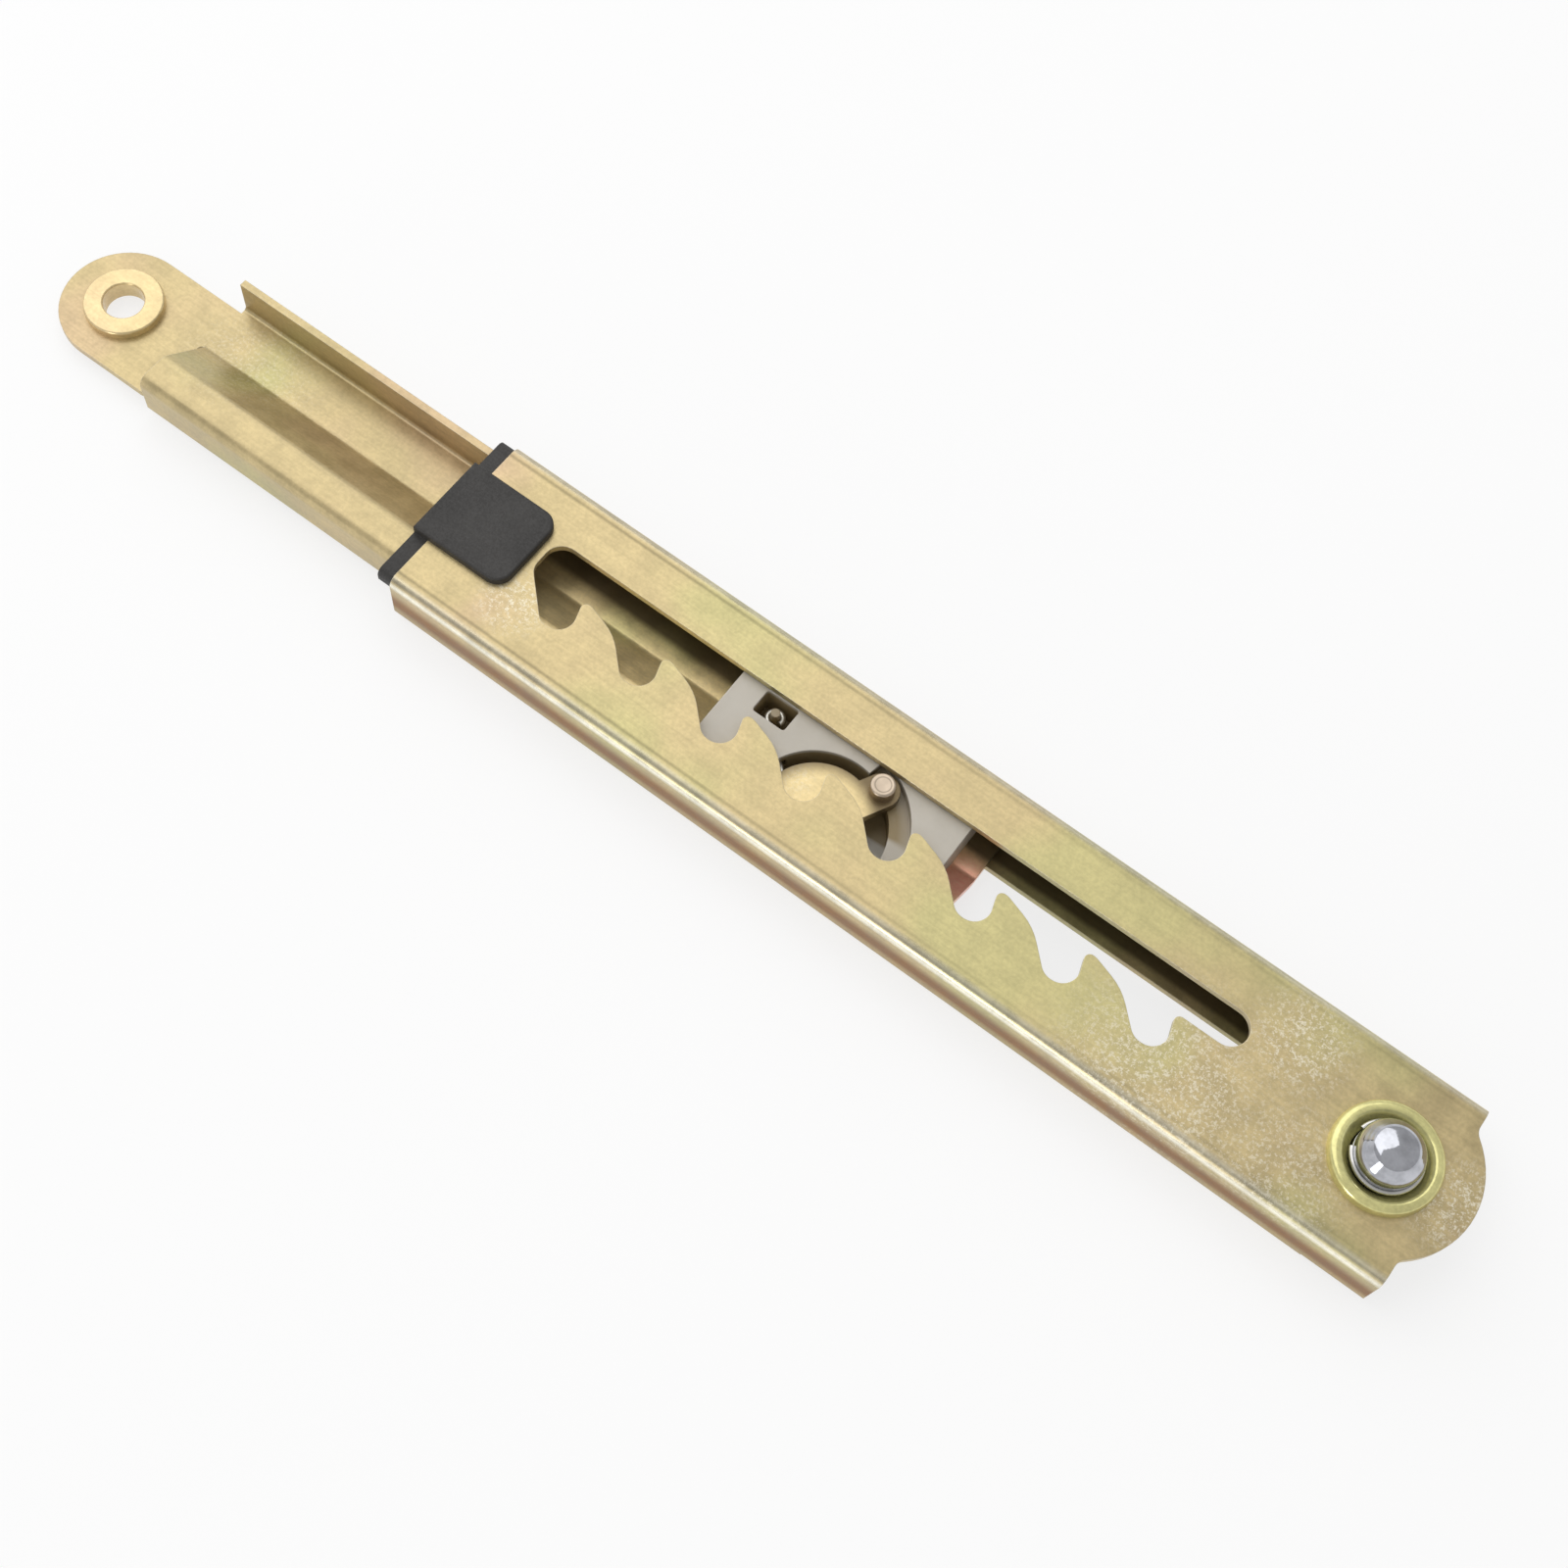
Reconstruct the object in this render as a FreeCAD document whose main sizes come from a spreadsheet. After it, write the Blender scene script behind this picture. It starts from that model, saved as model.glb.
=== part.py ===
import FreeCAD, Part
import math
import os

# Ratchet bracket for a drop leaf table: a folded steel channel with a toothed slot, a folded steel
# rail that slides in it, and a latch on the rail whose pin drops into the teeth.
# Frame: origin on the pivot's axis, in the plane that the bracket lies against. +X runs along the
# bracket to the rail's free end, +Y to the toothed side of the slot, +Z out of the channel's web.
# It is drawn as in the photograph: rail half out, latch raised. Lengths in millimetres.

V = FreeCAD.Vector
doc = FreeCAD.newDocument("ratchet_bracket")
sheet = doc.addObject("Spreadsheet::Sheet", "Sizes")

SIZES = [
    # channel
    ("channel_width", 38.0, "outer width over the flanges"),
    ("channel_depth", 13.0, "outer depth, from the lips' backs to the web's face"),
    ("channel_sheet", 1.5, "sheet of the channel"),
    ("channel_bend", 2.2, "outer radius of the channel's bends"),
    ("lip_width", 11.8, "width of a rear lip"),
    ("mouth_x", 204.0, "pivot axis to the open mouth"),
    ("flange_overhang", 10.5, "flanges beyond the pivot axis"),
    ("lip_start", 2.0, "pivot axis to where the lips start"),
    ("nose_radius", 17.3, "round nose about the pivot axis"),
    ("nose_relief", 2.5, "hollow fillet between nose and flange"),
    # toothed slot
    ("slot_start", 29.9, "pivot axis to the slot's near end"),
    ("slot_tail", 9.6, "last notch to the slot's far end"),
    ("slot_top", 7.5, "slot's straight edge above the centreline"),
    ("tooth_crest", 0.1, "teeth's crests above the centreline"),
    ("notch_floor", 8.2, "notches' floors below the centreline"),
    ("notch_first", 44.6, "pivot axis to the first notch"),
    ("notch_pitch", 18.7, "spacing of the notches"),
    ("notch_count", 8, "number of notches"),
    ("notch_round", 3.4, "radius in a notch's floor"),
    ("notch_back", 4.8, "notch's centre to the foot of its hooked wall"),
    ("notch_foot", 1.4, "notch's centre to the foot of the next tooth's ramp"),
    ("ramp_run", 6.3, "steep part of a ramp, along the slot"),
    ("ramp_rise", 6.2, "steep part of a ramp, across the slot"),
    ("ramp_round", 12.0, "radius between the ramp's steep and gentle parts"),
    ("crest_run", 2.1, "level crest behind a tooth's tip"),
    ("crest_round", 3.5, "radius between ramp and crest"),
    ("tip_reach", 2.2, "notch's centre to the corner of the tip that hooks over it"),
    ("tip_round", 1.1, "radius of a tooth's tip"),
    # mouth cap
    ("cap_rim", 3.4, "cap's rim beyond the mouth"),
    ("cap_rim_height", 3.4, "height of the rim's bar across the mouth"),
    ("cap_collar", 9.0, "cap's guide inside the mouth"),
    ("cap_clearance", 0.3, "running gap between cap and rail"),
    ("cap_inset", 0.6, "cap's rim inside the channel's outline"),
    ("cap_snug", 0.15, "fitting gap between the cap's guide and the channel"),
    ("tongue_length", 17.4, "cap's tongue over the web"),
    ("tongue_width", 18.0, "width of the tongue"),
    ("tongue_offset", 1.2, "tongue's centre above the centreline"),
    ("tongue_thick", 1.8, "thickness of the tongue"),
    ("tongue_round", 3.5, "tongue's corner radius"),
    ("tongue_edge", 0.5, "rounding of the tongue's upper edges"),
    # pivot
    ("eye_radius", 7.6, "hole in the web for the bush"),
    ("bush_flange", 10.2, "bush's raised front ring"),
    ("bush_height", 2.0, "ring's height over the web"),
    ("bush_mouth", 8.1, "radius of the ring's dished mouth"),
    ("bush_dish", 0.9, "depth of the dished mouth, from the web's face"),
    ("bush_swage", 9.0, "radius of the swaged rear end"),
    ("bush_back", 2.6, "bush behind the web"),
    ("nut_radius", 6.0, "pivot nut's body"),
    ("nut_clearance", 0.1, "radial gap between nut and bush"),
    ("nut_reach", 8.0, "nut's dome beyond the web"),
    ("nut_dome", 3.6, "height of the nut's domed end"),
    ("nut_crown", 3.7, "radius of the crown on the dome"),
    ("nut_crown_height", 0.6, "height of the crown"),
    ("nut_dome_round", 2.8, "rounding at the foot of the dome"),
    ("nut_crown_round", 1.8, "rounding at the foot of the crown"),
    ("nut_boss", 6.9, "radius of the nut's rear boss"),
    ("thread_radius", 3.4, "tapped hole of the nut, before threading"),
    ("thread_depth", 13.0, "depth of the tapped hole"),
    ("ring_wire", 0.5, "radius of the snap ring's wire"),
    ("ring_clearance", 0.03, "gap between the snap ring and its groove"),
    ("ring_seat", 0.2, "snap ring's middle outside the nut's body"),
    ("ring_opening", 35.0, "degrees that the snap ring is open"),
    ("ring_rise", 1.25, "snap ring's middle over the web's face"),
    # rail
    ("rail_sheet", 1.5, "sheet of the rail"),
    ("rail_gap_plain", 1.5, "gap between rail and channel on the slot's straight side"),
    ("rail_gap_toothed", 3.2, "gap between rail and channel on the toothed side"),
    ("rail_gap_web", 0.4, "gap between rail and web"),
    ("rail_floor", 1.9, "rail's back above the lips' backs"),
    ("rail_bend", 1.6, "middle radius of the rail's square bends"),
    ("rail_step_bend", 2.6, "middle radius of the rail's step"),
    ("step_low", -2.4, "foot of the rail's step from the centreline"),
    ("step_high", 7.4, "head of the rail's step from the centreline"),
    ("rail_lead", 5.2, "rail's inner end before the latch block"),
    ("rail_eye_x", 290.0, "pivot axis to the rail's eye"),
    ("rail_eye_round", 13.0, "rail's rounded end about its eye"),
    ("rail_fold_end", 19.0, "rail's folds stop short of its eye"),
    ("rail_slit", 1.0, "corner radius at the end of the rail's folds"),
    ("rail_eye_radius", 5.6, "hole for the rail's bush"),
    ("rail_bush_bore", 4.1, "bore of the rail's bush"),
    ("rail_bush_flange", 8.0, "flange of the rail's bush"),
    ("rail_bush_rise", 3.2, "rail's bush over the rail's floor"),
    ("rail_bush_lip", 1.2, "riveted lip of the rail's bush, round its hole"),
    ("rail_bush_back", 1.0, "riveted lip of the rail's bush, behind the rail"),
    # latch
    ("block_lead", 23.4, "latch block's inner end before the latch's pivot"),
    ("block_length", 51.2, "length of the latch block"),
    ("block_gap", 0.3, "gap between latch block and web"),
    ("block_clearance", 0.1, "gap between the block and the rail's plain flange"),
    ("block_round", 0.5, "rounding along the latch block's upper edges"),
    ("window_wall", 1.7, "rail's window to the outer face of its toothed flange"),
    ("window_rebate", 0.3, "latch block and rivet short of the rail's back"),
    ("pad_length", 14.0, "guide pads on the rail's flanges"),
    ("pad_height", 5.4, "height of the guide pads"),
    ("pad_round", 1.5, "guide pads' corners"),
    ("pad_clearance", 0.2, "running gap between guide pads and channel"),
    ("latched_notch", 3, "notches between the first one and the one that the pin can drop into"),
    ("pin_radius", 2.4, "latch pin"),
    ("pin_shank", 1.5, "latch pin's riveted shank"),
    ("pin_proud", 0.6, "latch pin over the web's face"),
    ("pin_seat", 0.2, "gap between dropped pin and notch floor"),
    ("latch_lift", 6.9, "pin's shift along the slot when it is raised"),
    ("lever_thick", 2.1, "latch lever"),
    ("lever_gap", 0.4, "latch lever under the web"),
    ("lever_back", 11.0, "lever's round back about its pivot"),
    ("lever_back_arc", 118.0, "degrees of the lever's round back"),
    ("lever_boss", 3.6, "lever's boss about its pivot"),
    ("lever_eye", 3.4, "lever's eye about the pin"),
    ("rivet_radius", 2.0, "latch pivot rivet"),
    ("rivet_clearance", 0.05, "radial gap between rivet and lever"),
    ("rivet_head", 3.4, "latch pivot rivet's head"),
    ("head_thick", 1.0, "thickness of the rivet's head"),
    ("arch_gap", 2.4, "gap between the lever's back and its pocket"),
    ("arch_side_gap", 0.3, "gap between the lever's boss and its pocket"),
    ("sweep_gap", 0.5, "gap between the lever's eye and the pocket that it swings in"),
    ("arch_wall", 0.7, "block's wall beside the lever's boss"),
    ("pocket_web", 0.8, "block under its deep pockets, over the rail's sheet"),
    ("wire_radius", 0.55, "latch spring's wire"),
    ("spring_loop", 3.2, "middle radius of the spring's loop"),
    ("spring_loop_arc", 150.0, "degrees of the spring's loop"),
    ("spring_hook_arc", 250.0, "degrees of the spring's hook"),
    ("spring_leg", 8.0, "spring's free leg under the lever"),
    ("spring_groove", 1.2, "half the width of the groove for the spring's fixed leg"),
    ("spring_gap", 0.55, "gap between spring and lever"),
    ("hook_lead", 41.8, "block's inner end to the middle of the spring hook's pocket"),
    ("hook_pocket_length", 7.2, "length of the hook's pocket"),
    ("hook_pocket_width", 5.1, "width of the hook's pocket"),
    ("hook_pocket_offset", 4.8, "hook's pocket above the centreline"),
    ("hook_pocket_round", 0.6, "corner radius of the hook's pocket"),
    ("hook_post", 0.9, "post that the spring hooks on"),
    ("hook_post_drop", 1.0, "post's top below the latch block's face"),
    ("screw_radius", 1.45, "block screws' shanks"),
    ("screw_head", 2.6, "block screws' countersunk heads"),
    ("screw_edge", 7.0, "block screws inside the rail's plain side"),
    ("screw_inset", 3.6, "block screws from the block's ends"),
    ("screw_length", 6.4, "length of the block screws"),
]

for row, (alias, number, note) in enumerate(SIZES, start=1):
    sheet.set(f"A{row}", note)
    sheet.set(f"B{row}", str(number))
    sheet.setAlias(f"B{row}", alias)
doc.recompute()
size = {alias: float(sheet.get(alias)) for alias, number, note in SIZES}


# Outlines: straight runs with rounded corners

def rounded_outline(corners):
    """Closed outline through (x, y, radius) corners, as lines and arcs for a sketch."""
    count = len(corners)
    cuts = []
    for i in range(count):
        before, here, after = corners[i - 1], corners[i], corners[(i + 1) % count]
        point = V(here[0], here[1], 0)
        back = (V(before[0], before[1], 0) - point).normalize()
        ahead = (V(after[0], after[1], 0) - point).normalize()
        if here[2] <= 0:
            cuts.append((point, None, point))
            continue
        half = back.getAngle(ahead) / 2
        reach = here[2] / math.tan(half)
        centre = point + (back + ahead).normalize() * (here[2] / math.sin(half))
        middle = centre + (point - centre).normalize() * here[2]
        cuts.append((point + back * reach, middle, point + ahead * reach))
    edges = []
    for i in range(count):
        start, middle, end = cuts[i]
        if middle is not None:
            edges.append(Part.Arc(start, middle, end))
        following = cuts[(i + 1) % count][0]
        if (following - end).Length > 1e-6:
            edges.append(Part.LineSegment(end, following))
    return edges


def strip_outline(middle_line, thickness):
    """Outline of folded sheet about a middle line of (y, z, bend radius) points."""
    points = [V(y, z, 0) for y, z, bend in middle_line]
    runs = [(b - a).normalize() for a, b in zip(points, points[1:])]
    half = thickness / 2
    sides = []
    for side in (1, -1):
        offset = []
        for i, point in enumerate(points):
            into = runs[max(i - 1, 0)]
            out = runs[min(i, len(runs) - 1)]
            normal = V(-into.y, into.x, 0)
            following = V(-out.y, out.x, 0)
            mitre = (normal + following) * (side * half / (1 + normal.dot(following)))
            turn = into.x * out.y - into.y * out.x
            bend = middle_line[i][2]
            if bend > 0:
                bend = bend - half * side * math.copysign(1, turn)
            offset.append((point.x + mitre.x, point.y + mitre.y, bend))
        sides.append(offset)
    return rounded_outline(sides[0] + sides[1][::-1])


def circle(x, y, radius):
    """Full circle for a sketch."""
    return [Part.Circle(V(x, y, 0), V(0, 0, 1), radius)]


# Document objects

def new_body(label):
    body = doc.addObject("PartDesign::Body", label)
    body.Label = label
    return body


def new_sketch(body, name, role, edges, height=None):
    """Sketch on one of the body's origin planes, lifted by a height worked out from the sheet."""
    plane = [feature for feature in body.Origin.OriginFeatures if feature.Role == role][0]
    sketch = body.newObject("Sketcher::SketchObject", name)
    sketch.AttachmentSupport = [(plane, "")]
    sketch.MapMode = "FlatFace"
    sketch.addGeometry(edges, False)
    if height is not None:
        sketch.setExpression("AttachmentOffset.Base.z", height)
    return sketch


def pad(body, name, sketch, length, backwards=False):
    feature = body.newObject("PartDesign::Pad", name)
    feature.Profile = sketch
    feature.setExpression("Length", length)
    feature.Reversed = backwards
    feature.Refine = True
    doc.recompute()
    return feature


def pocket(body, name, sketch, length, backwards=False):
    volume = body.Shape.Volume
    feature = body.newObject("PartDesign::Pocket", name)
    feature.Profile = sketch
    feature.setExpression("Length", length)
    feature.Reversed = backwards
    doc.recompute()
    if body.Shape.Volume >= volume:
        raise RuntimeError(name + " cuts nothing")
    return feature


def turned(label, corners):
    """Piece turned about the Z axis from a half section of (radius, z, rounding) corners."""
    body = new_body(label)
    sketch = new_sketch(body, label + "_section", "XZ_Plane", rounded_outline(corners))
    feature = body.newObject("PartDesign::Revolution", label + "_turned")
    feature.Profile = sketch
    feature.ReferenceAxis = (sketch, ["V_Axis"])
    feature.Angle = 360
    doc.recompute()
    return body


def primitive(kind, label, values, x=None, y=None, z=None, turn=0.0):
    """Part primitive whose sizes and place are expressions on the sheet."""
    item = doc.addObject("Part::" + kind, label)
    item.Label = label
    item.Placement = FreeCAD.Placement(V(0, 0, 0), FreeCAD.Rotation(V(0, 0, 1), turn))
    for name, expression in values.items():
        item.setExpression(name, expression)
    for axis, expression in (("x", x), ("y", y), ("z", z)):
        if expression is not None:
            item.setExpression("Placement.Base." + axis, expression)
    return item


def combine(kind, label, pieces):
    """Boolean of finished objects: Fuse joins them all, Cut takes the others from the first."""
    if kind == "Fuse":
        result = doc.addObject("Part::MultiFuse", label)
        result.Shapes = pieces
        result.Refine = True
    else:
        tools = pieces[1]
        if len(pieces) > 2:
            tools = doc.addObject("Part::MultiFuse", label + "_tools")
            tools.Shapes = pieces[1:]
        result = doc.addObject("Part::Cut", label)
        result.Base = pieces[0]
        result.Tool = tools
    result.Label = label
    doc.recompute()
    return result


# Places worked out from the sizes, so that the rail, block and latch follow the channel

def derive(alias, number):
    """Value worked out from others: a cell of the sheet and an entry of the sizes."""
    row = len(size) + 1
    sheet.set(f"A{row}", "worked out from other sizes")
    sheet.set(f"B{row}", repr(number))
    sheet.setAlias(f"B{row}", alias)
    size[alias] = number
    return number


half = size["channel_width"] / 2
depth = size["channel_depth"]
gauge = size["channel_sheet"]
bend = size["channel_bend"]
web_back = depth - gauge
rail_plain = derive("rail_plain", half - gauge - size["rail_gap_plain"])
rail_toothed = derive("rail_toothed", half - gauge - size["rail_gap_toothed"])
rail_top = derive("rail_top", web_back - size["rail_gap_web"])
plate_top = size["rail_floor"] + size["rail_sheet"]
block_top = derive("block_top", web_back - size["block_gap"])
window_y1 = rail_toothed - size["window_wall"]
lever_top = derive("lever_top", web_back - size["lever_gap"])
lever_base = derive("lever_base", lever_top - size["lever_thick"])
spring_level = lever_base - size["spring_gap"] - size["wire_radius"]
derive("pocket_floor", plate_top + size["pocket_web"])
derive("screw_offset", rail_plain - size["screw_edge"])

# The pin swings on a lever between the slot's straight side and a notch, about a point on the line that
# halves its swing
channel_middle = -(size["slot_top"] + size["tooth_crest"]) / 2
dropped = V(size["notch_first"] + size["latched_notch"] * size["notch_pitch"],
            size["notch_floor"] - size["pin_radius"] - size["pin_seat"], 0)
raised = V(dropped.x + size["latch_lift"], channel_middle, 0)
arch_side = size["lever_boss"] + size["arch_side_gap"]
py = derive("latch_pivot_y", window_y1 - size["arch_wall"] - arch_side)
chord_middle = (raised + dropped) * 0.5
chord = raised - dropped
px = derive("latch_pivot_x", chord_middle.x - (py - chord_middle.y) * chord.y / chord.x)
latch_pivot = V(px, py, 0)
latch_arm = derive("latch_arm", (raised - latch_pivot).Length)
derive("raised_x", raised.x)
derive("raised_y", raised.y)
raised_angle = math.degrees(math.atan2(raised.y - py, raised.x - px))
latch_swing = math.degrees((raised - latch_pivot).getAngle(dropped - latch_pivot))
block_x0 = derive("block_start", px - size["block_lead"])
block_x1 = block_x0 + size["block_length"]
hook_x = derive("hook_pocket_x", block_x0 + size["hook_lead"])
hook_y = -size["hook_pocket_offset"]
derive("rail_start", block_x0 - size["rail_lead"])
doc.recompute()


# Channel: one sheet folded to a C, with the toothed slot, the eye and the round nose

lip_edge = half - size["lip_width"]
channel = new_body("housing_channel")
c_section = [(-lip_edge, 0, 0), (-half, 0, bend), (-half, depth, bend),
             (half, depth, bend), (half, 0, bend), (lip_edge, 0, 0)]
c_section += [(lip_edge, gauge, 0), (half - gauge, gauge, bend - gauge),
              (half - gauge, depth - gauge, bend - gauge), (gauge - half, depth - gauge, bend - gauge),
              (gauge - half, gauge, bend - gauge), (-lip_edge, gauge, 0)]
section = new_sketch(channel, "channel_section", "YZ_Plane", rounded_outline(c_section),
                     "-Sizes.flange_overhang")
pad(channel, "channel_folded", section, "Sizes.flange_overhang + Sizes.mouth_x")

nose = size["nose_radius"]
relief = size["nose_relief"]
flange_x = -size["flange_overhang"]
relief_x = flange_x - relief
relief_y = math.sqrt((nose + relief) ** 2 - relief_x ** 2)
touch = nose / (nose + relief)
relief_turn = math.atan2(relief_y, -relief_x) / 2
relief_mid_x = relief_x + relief * math.cos(relief_turn)
relief_mid_y = relief_y - relief * math.sin(relief_turn)
nose_edges = [
    Part.LineSegment(V(0, relief_y, 0), V(flange_x, relief_y, 0)),
    Part.Arc(V(flange_x, relief_y, 0), V(relief_mid_x, relief_mid_y, 0),
             V(relief_x * touch, relief_y * touch, 0)),
    Part.Arc(V(relief_x * touch, relief_y * touch, 0), V(-nose, 0, 0),
             V(relief_x * touch, -relief_y * touch, 0)),
    Part.Arc(V(relief_x * touch, -relief_y * touch, 0), V(relief_mid_x, -relief_mid_y, 0),
             V(flange_x, -relief_y, 0)),
    Part.LineSegment(V(flange_x, -relief_y, 0), V(0, -relief_y, 0)),
    Part.LineSegment(V(0, -relief_y, 0), V(0, relief_y, 0))]
nose_sketch = new_sketch(channel, "nose_outline", "XY_Plane", nose_edges,
                         "Sizes.channel_depth - Sizes.channel_sheet")
pad(channel, "nose", nose_sketch, "Sizes.channel_sheet")

past = bend
lip_cut = [(flange_x - past, -half - past, 0), (size["lip_start"], -half - past, 0),
           (size["lip_start"], half + past, 0), (flange_x - past, half + past, 0)]
pocket(channel, "lips_cut_back", new_sketch(channel, "lip_cut", "XY_Plane", rounded_outline(lip_cut)),
       "Sizes.channel_bend", backwards=True)

crest = -size["tooth_crest"]
floor = size["notch_floor"]
pitch = size["notch_pitch"]
foot = size["notch_foot"]
notches = [size["notch_first"] + index * pitch for index in range(round(size["notch_count"]))]
slot_end = notches[-1] + size["slot_tail"]
end_round = (size["slot_top"] + crest) / 2 - 0.01
slot = [(size["slot_start"], -size["slot_top"], end_round), (size["slot_start"], crest, end_round)]
for notch_x in notches:
    slot.append((notch_x - size["tip_reach"], crest, size["tip_round"]))
    slot.append((notch_x - size["notch_back"], floor, size["notch_round"]))
    slot.append((notch_x + foot, floor, size["notch_round"]))
    if notch_x != notches[-1]:
        slot.append((notch_x + foot + size["ramp_run"], floor - size["ramp_rise"], size["ramp_round"]))
        slot.append((notch_x + pitch - size["tip_reach"] - size["crest_run"], crest, size["crest_round"]))
last_rise = (slot_end - notches[-1] - foot) * size["ramp_rise"] / size["ramp_run"]
slot.append((slot_end, floor - last_rise, end_round))
slot.append((slot_end, -size["slot_top"], end_round))
slot_sketch = new_sketch(channel, "toothed_slot", "XY_Plane", rounded_outline(slot),
                         "Sizes.channel_depth")
pocket(channel, "slot", slot_sketch, "2 * Sizes.channel_sheet")
eye_sketch = new_sketch(channel, "eye_outline", "XY_Plane", circle(0, 0, size["eye_radius"]),
                        "Sizes.channel_depth")
pocket(channel, "eye", eye_sketch, "2 * Sizes.channel_sheet")


# Rail: one sheet folded to a stepped section, flattened to a round eye at its free end

half_sheet = size["rail_sheet"] / 2
fold_plain = half_sheet - rail_plain
fold_toothed = rail_toothed - half_sheet
fold_low = size["rail_floor"] + half_sheet
fold_high = rail_top - half_sheet
rail_line = [(fold_plain, rail_top, 0), (fold_plain, fold_low, size["rail_bend"]),
             (size["step_low"], fold_low, size["rail_step_bend"]),
             (size["step_high"], fold_high, size["rail_step_bend"]),
             (fold_toothed, fold_high, size["rail_bend"]), (fold_toothed, size["rail_floor"], 0)]
rail = new_body("inner_rail_blank")
rail_section = new_sketch(rail, "rail_section", "YZ_Plane", strip_outline(rail_line, size["rail_sheet"]),
                          "Sizes.rail_start")
pad(rail, "rail_folded", rail_section, "Sizes.rail_eye_x - Sizes.rail_fold_end - Sizes.rail_start")

eye_x = size["rail_eye_x"]
eye_round = size["rail_eye_round"]
fold_end = eye_x - size["rail_fold_end"]
slit = size["rail_slit"]
end_plate = [(fold_end - eye_round, -eye_round, 0), (eye_x + eye_round, -eye_round, eye_round - 0.01),
             (eye_x + eye_round, eye_round, eye_round - 0.01), (fold_end + slit, eye_round, 2 * slit),
             (fold_end + slit, size["step_low"], slit), (fold_end - eye_round, size["step_low"], 0)]
end_sketch = new_sketch(rail, "rail_end_outline", "XY_Plane", rounded_outline(end_plate), "Sizes.rail_floor")
pad(rail, "rail_end", end_sketch, "Sizes.rail_sheet")
eye_outline = circle(eye_x, 0, size["rail_eye_radius"])
pocket(rail, "rail_eye", new_sketch(rail, "rail_eye_outline", "XY_Plane", eye_outline),
       "Sizes.channel_depth", backwards=True)

window_y0 = size["step_low"] - size["rail_step_bend"] / 2
window = [(block_x0, window_y0, 0), (block_x1, window_y0, 0), (block_x1, window_y1, 0),
          (block_x0, window_y1, 0)]
pocket(rail, "block_window", new_sketch(rail, "window_outline", "XY_Plane", rounded_outline(window)),
       "Sizes.channel_depth", backwards=True)

# Countersunk screws that hold the latch block to the rail, from behind

screw_places = ["Sizes.block_start + Sizes.screw_inset",
                "Sizes.block_start + Sizes.block_length - Sizes.screw_inset"]
screw_parts = []
for number, place in enumerate(screw_places, start=1):
    at = {"x": place, "y": "-Sizes.screw_offset", "z": "Sizes.rail_floor"}
    screw_parts.append(primitive("Cylinder", f"screw_shank_{number}",
                                 {"Radius": "Sizes.screw_radius", "Height": "Sizes.screw_length"}, **at))
    screw_parts.append(primitive("Cone", f"screw_head_{number}",
                                 {"Radius1": "Sizes.screw_head", "Radius2": "Sizes.screw_radius",
                                  "Height": "Sizes.screw_head - Sizes.screw_radius"}, **at))
block_screws = combine("Fuse", "block_screws", screw_parts)
inner_rail = combine("Cut", "inner_rail", [rail, block_screws])


# Mouth cap: moulded guide that closes the mouth round the rail, with a tongue that grips the web

cap = new_body("end_cap")
inset = size["cap_inset"]
gap = size["cap_clearance"]
rim_half = half - inset
rim_top = depth - inset
rim_base = rim_top - size["cap_rim_height"]
rim = [(-rim_half, rim_base, inset), (rim_half, rim_base, inset), (rim_half, rim_top, bend - inset),
       (-rim_half, rim_top, bend - inset)]
pad(cap, "rim", new_sketch(cap, "rim_outline", "YZ_Plane", rounded_outline(rim), "Sizes.mouth_x"),
    "Sizes.cap_rim")
snug = size["cap_snug"]
collar_half = half - gauge - snug
collar = [(-collar_half, gauge + snug, inset), (collar_half, gauge + snug, inset),
          (collar_half, depth - gauge - snug, inset), (-collar_half, depth - gauge - snug, inset)]
pad(cap, "collar", new_sketch(cap, "collar_outline", "YZ_Plane", rounded_outline(collar), "Sizes.mouth_x"),
    "Sizes.cap_collar", backwards=True)
aperture_top = block_top + gap
aperture = [(-rail_plain - gap, 0, 0), (rail_toothed + gap, 0, 0), (rail_toothed + gap, aperture_top, 0),
            (-rail_plain - gap, aperture_top, 0)]
aperture_sketch = new_sketch(cap, "aperture_outline", "YZ_Plane", rounded_outline(aperture),
                             "Sizes.mouth_x + Sizes.cap_rim")
pocket(cap, "rail_aperture", aperture_sketch, "Sizes.cap_rim + Sizes.cap_collar")
tongue_x0 = size["mouth_x"] - size["tongue_length"]
tongue_x1 = size["mouth_x"] + size["cap_rim"]
tongue_y0 = -size["tongue_offset"] - size["tongue_width"] / 2
tongue_y1 = tongue_y0 + size["tongue_width"]
corner = size["tongue_round"]
root = [(size["mouth_x"], tongue_y0, 0), (tongue_x1, tongue_y0, 0), (tongue_x1, tongue_y1, 0),
        (size["mouth_x"], tongue_y1, 0)]
pad(cap, "tongue_root", new_sketch(cap, "tongue_root_outline", "XY_Plane", rounded_outline(root),
                                   "Sizes.channel_depth - 2 * Sizes.cap_inset"),
    "2 * Sizes.cap_inset + Sizes.tongue_thick")
tongue = [(tongue_x0, tongue_y0, corner), (tongue_x1, tongue_y0, 0), (tongue_x1, tongue_y1, 0),
          (tongue_x0, tongue_y1, corner)]
tongue_pad = pad(cap, "tongue", new_sketch(cap, "tongue_outline", "XY_Plane", rounded_outline(tongue),
                                            "Sizes.channel_depth"), "Sizes.tongue_thick")
tongue_top = depth + size["tongue_thick"]
top_edges = [f"Edge{number}" for number, edge in enumerate(cap.Shape.Edges, start=1)
             if abs(edge.BoundBox.ZMin - tongue_top) < 1e-4]
soft_edge = cap.newObject("PartDesign::Fillet", "tongue_soft_edge")
soft_edge.Base = (tongue_pad, top_edges)
soft_edge.setExpression("Radius", "Sizes.tongue_edge")
doc.recompute()


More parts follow.
